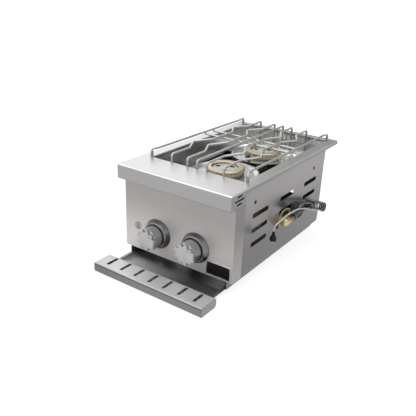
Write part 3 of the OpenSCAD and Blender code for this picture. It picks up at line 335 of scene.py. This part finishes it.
finishes = {
    "deckSteel": ("top_trim",),
    "frontSteel": ("front_panel",),
    "rightSteel": ("side_panel_right",),
    "leftSteel": ("side_panel_left",),
    "rearSteel": ("rear_panel",),
    "plainSteel": ("base_pan", "burner_supports", "tray_rail_left", "tray_rail_right", "inlet_nut"),
    "wellSteel": ("firebox",),
    "dishSteel": ("dish_front", "dish_rear"),
    "traySteel": ("tray_pan",),
    "handleSteel": ("tray_handle",),
    "rodSteel": ("grate_rods", "grate_bars"),
    "weldSteel": ("grate_feet",),
    "knobChrome": ("knob_left", "knob_right"),
    "bezelChrome": ("bezel_left", "bezel_right"),
    "screwChrome": ("dish_screws", "stem_left", "stem_right", "nameplate_frame"),
    "darkScrew": ("earth_terminal",),
    "castAlloy": ("burner_base_front", "burner_base_rear"),
    "pipeAlloy": ("gas_manifold", "gas_tube_left", "gas_tube_right"),
    "crownBrass": ("burner_crown_front", "burner_crown_rear"),
    "fittingBrass": ("valve_left", "valve_right", "inlet_elbow"),
    "ceramicGlaze": ("igniter_front", "igniter_rear"),
    "blackPlastic": ("collar_left", "collar_right", "nameplate", "hank_tie", "lead_plug"),
    "blackRubber": ("seal_left", "seal_right", "inlet_seal", "cable_grommet"),
    "cableJacket": ("cable_hank",),
    "whiteJacket": ("white_lead",),
    "earthJacket": ("earth_wire",),
    "paleSleeve": ("inlet_sleeve",),
}
finishOf = {piece: finish for finish, pieces in finishes.items() for piece in pieces}
for name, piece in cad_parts.items():
    piece.data.materials.clear()
    piece.data.materials.append(materials[finishOf[name]])
print("stage: nodes finished")


def addPiece(name, data, finish, body):
    made = bpy.data.objects.new(name, data)
    data.materials.append(materials[finish])
    scene.collection.objects.link(made)
    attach(made, body)
    return made


def meshFrom(made, name):
    # a mesh of closed shells with its normals outward
    bmesh.ops.recalc_face_normals(made, faces=made.faces)
    data = bpy.data.meshes.new(name)
    made.to_mesh(data)
    made.free()
    return data


def closedMesh(name, rings, angle=35):
    # skins a row of rings, each a list of points or one point at a closed end
    made = bmesh.new()
    rows = [[made.verts.new(p) for p in ring] for ring in rings]
    for low, high in zip(rows, rows[1:]):
        count = max(len(low), len(high))
        for k in range(count):
            n = (k + 1) % count
            corners = [low[k % len(low)], low[n % len(low)],
                       high[n % len(high)], high[k % len(high)]]
            made.faces.new(list(dict.fromkeys(corners)))
    for row in (rows[0], rows[-1]):
        if len(row) > 1:
            made.faces.new(row)
    data = meshFrom(made, name)
    data.shade_smooth()
    data.set_sharp_from_angle(angle=math.radians(angle))
    return data


def latheRings(profile, top, axis, segments=40):
    # profile has radius and distance along the axis from top, all in millimetres
    turn = Vector((0, 0, 1)).rotation_difference(Vector(axis)).to_matrix()
    start = Vector(top) * mm
    rings = []
    for radius, reach in ((r * mm, z * mm) for r, z in profile):
        angles = [k * math.tau / segments for k in range(segments)] if radius else [0]
        rings.append([start + turn @ Vector((radius * math.cos(a), radius * math.sin(a), reach))
                      for a in angles])
    return rings


def sweepRings(path, radii, segments=20):
    last = len(path) - 1
    tangents = [(path[min(i + 1, last)] - path[max(i - 1, 0)]).normalized()
                for i in range(len(path))]
    angles = [k * math.tau / segments for k in range(segments)]
    side = tangents[0].orthogonal().normalized()
    rings = []
    for point, tangent, radius in zip(path, tangents, radii):
        side = (side - tangent * side.dot(tangent)).normalized()
        other = tangent.cross(side)
        rings.append([point + (side * math.cos(a) + other * math.sin(a)) * radius for a in angles])
    return rings


def smoothPath(points, steps):
    # a curve through the points, drawn with a number of steps between two of them
    made = []
    last = len(points) - 1
    for i in range(last):
        a, b, c, d = points[max(i - 1, 0)], points[i], points[i + 1], points[min(i + 2, last)]
        for k in range(steps):
            u = k / steps
            made.append(b + ((c - a) * u + (2 * a - 5 * b + 4 * c - d) * u * u
                             + (3 * b - a - 3 * c + d) * u ** 3) / 2)
    return made + [points[-1]]


def inMetres(points):
    return [Vector(p) * mm for p in points]


def pathLength(path):
    return sum((b - a).length for a, b in zip(path, path[1:]))


# millimetres, as in the part's source
hank = {"start": (189, 264, -103), "axis": (0, 192, -60), "arch": 7, "radius": 11.6, "waist": 5.6,
        "turns": 3.645, "pitch": 5.8, "steps": 40, "fold": 0.1}
routes = {
    "tail": [(171, 264, -129), (176, 264, -129), (181, 264, -128), (185.2, 264, -125.2),
             (188, 264, -121), (189, 264, -116), (189, 264, -110)],
    "lead": [(212, 404, -155), (213, 382, -147.6), (213, 343.4, -133.2), (213, 318, -122.6),
             (213, 293, -112.6), (212.8, 261.4, -103.4), (212.5, 240.5, -99.6),
             (212.5, 213, -97), (212.5, 193, -96.6), (212.5, 169, -98.3),
             (212.5, 148, -100.8), (212.5, 139, -101.9), (212.5, 132, -103.2),
             (212.5, 127.3, -105.1), (212.5, 123.8, -108), (212.5, 121.8, -111.5),
             (212.5, 121.2, -115.3), (212.5, 121.2, -117.4)],
    "earth": [(171, 258.7, -129), (176, 258.7, -129), (179.6, 258.7, -128.4),
              (182.8, 258.5, -126.5), (185.1, 258, -123.6), (186.4, 257, -120),
              (188, 253, -111.5), (191, 241, -101.5), (192.5, 226, -96.5),
              (192.5, 211, -95.5), (192, 200, -99.5), (191.5, 195, -108),
              (190.5, 195.3, -119), (187, 200, -132), (182.5, 206, -141),
              (178.4, 210, -145.2)],
}
thickness = {"mains": 5.2, "lead": 4.2, "earth": 3}
relief = {"start": 6.8, "end": 27, "low": 3.5, "high": 2.95, "mouth": 2.65, "groove": 0.22,
          "steps": 40}
joint = {"reach": 11, "radius": 3.1, "steps": 8, "ends": (0.86, 0.96)}
plug = {
    "top": (212.5, 121.2, -117.5), "mouth": 2.6, "neck": 3.4,
    "ribs": 5, "ribStart": 0.5, "ribStep": 1.7, "ribGrowth": 0.12,
    "rib": ((-0.5, 0), (0, 0.3), (0, 0.9), (-0.5, 1.2)),
    "body": ((4.3, 9.6), (5.8, 12), (7.6, 15.4), (8.5, 18), (8.75, 20), (8.75, 24), (8.1, 25.3),
             (7.0, 26), (0, 26)),
    "pinFoot": 25.6, "pinGap": 9,
    "pin": ((0, 0), (1.5, 0), (1.5, 4.4), (1.1, 5.1), (0.5, 5.4), (0, 5.4)),
}


def hankPath(h):
    along = Vector(h["axis"]).normalized()
    across = Vector((1, 0, 0)).cross(along)
    reach = Vector(h["axis"]).length / 2
    half = reach - h["radius"]

    def drawnIn(u):
        # the hank is narrower at its tie than at its folds
        return h["waist"] + (h["radius"] - h["waist"]) * u * u * (3 - 2 * abs(u))

    def loopPoint(f):
        # one turn of the cable, f from 0 to 1 from the middle of one fold
        fold, run = h["fold"], 0.25 - h["fold"]
        if f < fold or f >= 1 - fold:
            angle = math.radians(180 - (f if f < 0.5 else f - 1) / fold * 90)
            return -half + h["radius"] * math.cos(angle), h["radius"] * math.sin(angle)
        if abs(f - 0.5) < fold:
            angle = math.radians(-(f - 0.5) / fold * 90)
            return half + h["radius"] * math.cos(angle), h["radius"] * math.sin(angle)
        u = (f - 0.25) / run if f < 0.5 else (0.75 - f) / run
        return half * u, drawnIn(u) * (1 if f < 0.5 else -1)

    path = []
    for k in range(int(h["turns"] * h["steps"] + 1e-6) + 1):
        t = k / h["steps"]
        a, b = loopPoint(t - int(t))
        rise = h["arch"] * (1 - (a / reach) ** 2) ** 2
        path.append(Vector(h["start"]) + Vector(h["axis"]) / 2 + along * a + across * b
                    + Vector((h["pitch"] * t, 0, rise)))
    return [p * mm for p in path]


def cordCurve(name, path, diameter, finish, standsFor, pieces):
    data = bpy.data.curves.new(name, "CURVE")
    data.dimensions, data.bevel_depth, data.bevel_resolution = "3D", diameter / 2, 5
    data.use_fill_caps, data.twist_mode = True, "MINIMUM"
    line = data.splines.new("POLY")
    line.points.add(len(path) - 1)
    for point, place in zip(line.points, path):
        point.co = (*place, 1)
    line.use_smooth = True
    made = addPiece(name, data, finish, "frame")
    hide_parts(standsFor)


def makePlug(p):
    # moulded body with ribs on its neck, and two round pins
    down = (0, 0, -1)
    profile = [(0, 0), (p["mouth"], 0)]
    for k in range(p["ribs"]):
        low = p["ribStart"] + k * p["ribStep"]
        bulge = p["neck"] + k * p["ribGrowth"]
        profile += [(bulge + out, low + up) for out, up in p["rib"]]
    rings = latheRings(profile + list(p["body"]), p["top"], down)
    body = addPiece("plugBody", closedMesh("plugBody", rings), "blackPlastic", "frame")
    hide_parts("lead_plug")
    pieces = [body]
    for name, side in (("plugPinFront", -1), ("plugPinRear", 1)):
        foot = Vector(p["top"]) + Vector((0, side * p["pinGap"] / 2, -p["pinFoot"]))
        rings = latheRings(p["pin"], foot, down, 20)
        pieces.append(addPiece(name, closedMesh(name, rings), "fittingBrass", "frame"))
    return pieces


def partOfPath(path, start, end, count):
    # points at even distances between two lengths along a path
    marks = [start + (end - start) * k / (count - 1) for k in range(count)]
    made, walked = [], 0
    for a, b in zip(path, path[1:]):
        step = (b - a).length
        while marks and walked + step >= marks[0]:
            made.append(a + (b - a) * ((marks.pop(0) - walked) / step))
        walked += step
    return made + [path[-1]] * len(marks)


def makeRelief(r, line):
    # ribbed rubber cover where the cable leaves the grommet, ribs three sections wide
    count = r["steps"] + 1
    path = partOfPath(line, r["start"] * mm, r["end"] * mm, count)
    radii = []
    for k in range(count):
        groove = r["groove"] if 4 < k < r["steps"] - 4 and k // 3 % 2 else 0
        radii.append((r["low"] + (r["high"] - r["low"]) * k / r["steps"] - groove) * mm)
    radii[0] = radii[-1] = r["mouth"] * mm
    data = closedMesh("tailRelief", sweepRings(path, radii))
    return addPiece("tailRelief", data, "blackRubber", "frame")


def makeJoint(j, cable, lead):
    # smooth cover over the ends of the cable and the lead
    reach, length = j["reach"] * mm, pathLength(cable)
    count = j["steps"] + 1
    path = partOfPath(cable, length - reach, length, count)[:-1] + partOfPath(lead, 0, reach, count)
    shares = [*j["ends"], *[1] * (len(path) - 4), *reversed(j["ends"])]
    radii = [j["radius"] * mm * share for share in shares]
    data = closedMesh("jointCover", sweepRings(path, radii))
    return addPiece("jointCover", data, "cableJacket", "frame")


mainsLine = smoothPath(inMetres(routes["tail"]), 3) + hankPath(hank)
leaveHank = (mainsLine[-1] - mainsLine[-2]).normalized()
leadStart = mainsLine[-1] + leaveHank * 0.3 * mm
leadLine = smoothPath([leadStart] + inMetres(routes["lead"]), 4)
earthLine = smoothPath(inMetres(routes["earth"]), 4)
covers = [makeRelief(relief, mainsLine), makeJoint(joint, mainsLine, leadLine)]
cordCurve("mainsCable", mainsLine, thickness["mains"] * mm, "cableJacket", "cable_hank",
          covers + [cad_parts["hank_tie"]])
cordCurve("whiteLead", leadLine, thickness["lead"] * mm, "whiteJacket", "white_lead",
          makePlug(plug))
cordCurve("earthWire", earthLine, thickness["earth"] * mm, "earthJacket", "earth_wire",
          [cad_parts["earth_terminal"]])
print("stage: cords made")

welds = {"across": (-144.6, -81.7, -30.6, 0, 30.6, 81.7, 144.6), "along": (318.7, 362.9),
         "height": 27.4, "size": 2.4, "detail": 3, "seed": 3,
         "leastStretch": (1.1, 1.2, 0.5), "mostStretch": (1.5, 1.6, 0.75),
         "lumpScale": 420, "lump": 0.0016}


def makeWelds(w):
    # small weld beads where the grate's rods cross its two bars
    tree = bpy.data.node_groups.new("weldBeads", "GeometryNodeTree")
    for name, way, kind in (("Geometry", "INPUT", "Geometry"), ("Size", "INPUT", "Float"),
                            ("Seed", "INPUT", "Int"), ("Geometry", "OUTPUT", "Geometry")):
        tree.interface.new_socket(name, in_out=way, socket_type="NodeSocket" + kind)
    inputs = node(tree, "NodeGroupInput", (-800, 0))
    outputs = node(tree, "NodeGroupOutput", (700, 0))
    ball = node(tree, "GeometryNodeMeshIcoSphere", (-600, -200))
    ball.inputs["Subdivisions"].default_value = w["detail"]
    lumps = node(tree, "ShaderNodeTexNoise", (-600, -500))
    lumps.inputs["Scale"].default_value = w["lumpScale"]
    around = node(tree, "ShaderNodeVectorMath", (-400, -500), operation="MULTIPLY_ADD")
    around.inputs[1].default_value = (w["lump"],) * 3
    around.inputs[2].default_value = (-w["lump"] / 2,) * 3
    dent = node(tree, "GeometryNodeSetPosition", (-300, -200))
    stretch = node(tree, "FunctionNodeRandomValue", (-300, -700), data_type="FLOAT_VECTOR")
    stretch.inputs["Min"].default_value = w["leastStretch"]
    stretch.inputs["Max"].default_value = w["mostStretch"]
    spread = node(tree, "GeometryNodeInstanceOnPoints", (0, 0))
    solid = node(tree, "GeometryNodeRealizeInstances", (200, 0))
    paint = node(tree, "GeometryNodeSetMaterial", (400, 0))
    paint.inputs["Material"].default_value = materials["weldSteel"]
    link = tree.links.new
    link(inputs.outputs["Size"], ball.inputs["Radius"])
    link(ball.outputs["Mesh"], dent.inputs["Geometry"])
    link(lumps.outputs["Color"], around.inputs[0])
    link(around.outputs[0], dent.inputs["Offset"])
    link(inputs.outputs["Geometry"], spread.inputs["Points"])
    link(dent.outputs["Geometry"], spread.inputs["Instance"])
    link(inputs.outputs["Seed"], stretch.inputs["Seed"])
    link(stretch.outputs["Value"], spread.inputs["Scale"])
    link(spread.outputs["Instances"], solid.inputs["Geometry"])
    link(solid.outputs["Geometry"], paint.inputs["Geometry"])
    link(paint.outputs["Geometry"], outputs.inputs["Geometry"])
    places = inMetres([(x, y, w["height"]) for x in w["across"] for y in w["along"]])
    points = bpy.data.meshes.new("weldPoints")
    points.from_pydata(places, [], [])
    source = bpy.data.objects.new("weldPoints", points)
    scene.collection.objects.link(source)
    made = source.modifiers.new("weldBeads", "NODES")
    made.node_group = tree
    sockets = {s.name: s.identifier for s in tree.interface.items_tree if s.in_out == "INPUT"}
    made[sockets["Size"]], made[sockets["Seed"]] = w["size"] * mm, w["seed"]
    bpy.context.view_layer.update()
    grown = source.evaluated_get(bpy.context.evaluated_depsgraph_get())
    data = bpy.data.meshes.new_from_object(grown)
    bpy.data.objects.remove(source)
    data.name = "weldBeads"
    data.materials.clear()
    addPiece("weldBeads", data, "weldSteel", "grate")


makeWelds(welds)

thread = {"x": 198.32, "y": (280.4, 313.6), "z": (-144.3, -135.7), "ridges": 15,
          "ridge": ((0.25, 0.1), (0.9, 0.4), (0.9, 0.6), (0.25, 0.9))}


def makeThread(t):
    # ridged dark core that shows in the side window of the pale sleeve
    low, high = t["y"]
    step = (high - low) / t["ridges"]
    outline = [(t["x"], low)]
    for k in range(t["ridges"]):
        outline += [(t["x"] + out, low + (k + share) * step) for out, share in t["ridge"]]
    outline += [(t["x"], high)]
    rings = [inMetres([(x, y, z) for x, y in outline]) for z in t["z"]]
    addPiece("sleeveThread", closedMesh("sleeveThread", rings, 20), "darkThread", "frame")


makeThread(thread)

grooveShadeStrip = {"x": 171.6, "y": (-124.9, -123.9), "z": (-239.1, -237.5), "hollow": 0.3}


def makeGrooveShade(s):
    # dark strip in the groove under the handle's top sheet: painted shadow of the groove
    (front, back), (low, high) = s["y"], s["z"]
    outline = [(front, low), (front + s["hollow"], (low + high) / 2), (front, high),
               (back, high), (back, low)]
    rings = [inMetres([(x, y, z) for y, z in outline]) for x in (-s["x"], s["x"])]
    addPiece("handleGrooveShade", closedMesh("handleGrooveShade", rings, 20), "blackRubber", "tray")


makeGrooveShade(grooveShadeStrip)


def flatRing(made, center, outer, inner, layer, onSide=False, count=40):
    # thin closed ring, or disc if inner is 0, on the front or on a side panel;
    # layer has its two faces, all in millimetres
    def circle(radius, lift):
        angles = [k * math.tau / count for k in range(count)]
        around = [(radius * math.cos(a), radius * math.sin(a)) for a in angles]
        return [made.verts.new((center + Vector((lift, a, b) if onSide else (a, lift, b))) * mm)
                for a, b in around]

    rows = [circle(outer, lift) for lift in layer]
    if inner:
        rows += [circle(inner, lift) for lift in reversed(layer)]
        pairs = list(zip(rows, rows[1:] + rows[:1]))
    else:
        pairs = [(rows[0], rows[1])]
        for row in rows:
            made.faces.new(row)
    for low, high in pairs:
        for k in range(count):
            n = (k + 1) % count
            made.faces.new((low[k], low[n], high[n], high[k]))


# each ring has its height over the mark's center, its outer and its inner radius
mark = {"place": (-129.6, 0, -160.4), "patch": (-0.02, -0.1), "ink": (-0.05, -0.14),
        "radius": 9.9, "rings": ((0, 10.7, 9.95), (4.6, 4, 3.2), (-4.6, 4, 3.2), (-4.6, 1.7, 0))}


def makeMark(m):
    # printed sign of two burners in a ring, the filled one worked by this knob
    center = Vector(m["place"])
    patch, ink = bmesh.new(), bmesh.new()
    flatRing(patch, center, m["radius"], 0, m["patch"])
    for z, outer, inner in m["rings"]:
        flatRing(ink, center + Vector((0, 0, z)), outer, inner, m["ink"])
    addPiece("markPatch", meshFrom(patch, "markPatch"), "markPaint", "frame")
    addPiece("burnerMark", meshFrom(ink, "burnerMark"), "printInk", "frame")


makeMark(mark)

nutRings = {"x": 175, "holes": ((84, -36.6), (416, -36.6)), "outer": 5.2, "inner": 3.55,
            "layer": (-0.05, 0.35), "sides": 24}


def makeNutRings(n):
    # collars of the threaded inserts in the right panel's fastening holes
    made = bmesh.new()
    for y, z in n["holes"]:
        flatRing(made, Vector((n["x"], y, z)), n["outer"], n["inner"], n["layer"], True, n["sides"])
    addPiece("nutRings", meshFrom(made, "nutRings"), "darkScrew", "frame")


makeNutRings(nutRings)
print("stage: detail pieces made")

studio = {"drop": 0.0005, "size": 120, "tone": 0.3, "glow": 0.85, "world": 0.5}


def directRays(tree, place):
    # 1 for camera, glossy and transmission rays
    rays = node(tree, "ShaderNodeLightPath", (place[0] - 200, place[1]))
    first = node(tree, "ShaderNodeMath", place, operation="MAXIMUM")
    second = node(tree, "ShaderNodeMath", (place[0] + 200, place[1]), operation="MAXIMUM")
    tree.links.new(rays.outputs["Is Camera Ray"], first.inputs[0])
    tree.links.new(rays.outputs["Is Glossy Ray"], first.inputs[1])
    tree.links.new(first.outputs[0], second.inputs[0])
    tree.links.new(rays.outputs["Is Transmission Ray"], second.inputs[1])
    return second.outputs[0]


def addStage(name, corners):
    data = bpy.data.meshes.new(name)
    data.from_pydata(corners, [], [(0, 1, 2, 3)])
    made = bpy.data.objects.new(name, data)
    scene.collection.objects.link(made)
    return data


def makeFloor(s):
    # matt grey paper, lit up for the camera and for reflections
    half, height = s["size"] / 2, cadBox[0][2] - s["drop"]
    corners = [(x * half, y * half, height) for x, y in ((-1, -1), (1, -1), (1, 1), (-1, 1))]
    data = addStage("floor", corners)
    paper = newMaterial("floorPaper", grey(s["tone"]), 0, 1)
    tree = paper.node_tree
    glow = node(tree, "ShaderNodeEmission", (0, -300))
    lift = node(tree, "ShaderNodeMath", (-150, -300), operation="MULTIPLY")
    lift.inputs[1].default_value = s["glow"]
    add = node(tree, "ShaderNodeAddShader", (200, 0))
    tree.links.new(directRays(tree, (-500, -300)), lift.inputs[0])
    tree.links.new(lift.outputs[0], glow.inputs["Strength"])
    tree.links.new(tree.nodes["Principled BSDF"].outputs[0], add.inputs[0])
    tree.links.new(glow.outputs[0], add.inputs[1])
    tree.links.new(add.outputs[0], tree.nodes["Material Output"].inputs["Surface"])
    data.materials.append(paper)


def makeWorld(s):
    world = scene.world or bpy.data.worlds.new("world")
    scene.world = world
    world.use_nodes = True
    tree = world.node_tree
    tree.nodes.clear()
    out = node(tree, "ShaderNodeOutputWorld", (400, 0))
    sky = node(tree, "ShaderNodeBackground", (200, 0))
    sky.inputs["Color"].default_value = (1, 1, 1, 1)
    level = node(tree, "ShaderNodeMapRange", (0, 0))
    level.inputs["To Min"].default_value, level.inputs["To Max"].default_value = s["world"], 1
    tree.links.new(directRays(tree, (-400, 0)), level.inputs["Value"])
    tree.links.new(level.outputs["Result"], sky.inputs["Strength"])
    tree.links.new(sky.outputs[0], out.inputs["Surface"])


# a board outside the view that shades what the metal reflects
board = {"left": -5.9, "right": 8, "y": 10.6, "low": 0.9, "high": 12, "tone": 0.55}


def makeBoard(b):
    low, high = b["low"], b["high"]
    corners = [(b["left"], b["y"], low), (b["right"], b["y"], low),
               (b["right"], b["y"], high), (b["left"], b["y"], high)]
    data = addStage("boardBack", corners)
    # white to the camera, a plain grey to everything else
    card = newMaterial("boardBack", grey(b["tone"]), 0, 1, Emission_Color=(1, 1, 1, 1))
    tree = card.node_tree
    rays = node(tree, "ShaderNodeLightPath", (-400, 0))
    shader = tree.nodes["Principled BSDF"]
    tree.links.new(rays.outputs["Is Camera Ray"], shader.inputs["Emission Strength"])
    data.materials.append(card)


lamps = {
    "backLeft": {"place": (-9.2, 7.2, 5.4), "aim": (0, 0, 0), "size": (9.6, 7.5), "power": 230},
    "above": {"place": (-0.3, 0.4, 4), "aim": (0, 0.1, 0), "size": (5, 5), "power": 105},
    "front": {"place": (-1.2, -3.2, 1.1), "aim": (0, 0, -0.15), "size": (2.6, 1.8), "power": 30},
}


def makeLamps(table):
    for name, lamp in table.items():
        data = bpy.data.lights.new(name, "AREA")
        data.shape, data.size, data.size_y = "RECTANGLE", *lamp["size"]
        data.energy = lamp["power"]
        made = bpy.data.objects.new(name, data)
        made.location = lamp["place"]
        toAim = Vector(lamp["aim"]) - Vector(lamp["place"])
        made.rotation_mode = "QUATERNION"
        made.rotation_quaternion = toAim.to_track_quat("-Z", "Y")
        scene.collection.objects.link(made)


makeFloor(studio)
makeWorld(studio)
makeBoard(board)
makeLamps(lamps)
scene.view_settings.view_transform = "Standard"
print("stage: studio made")
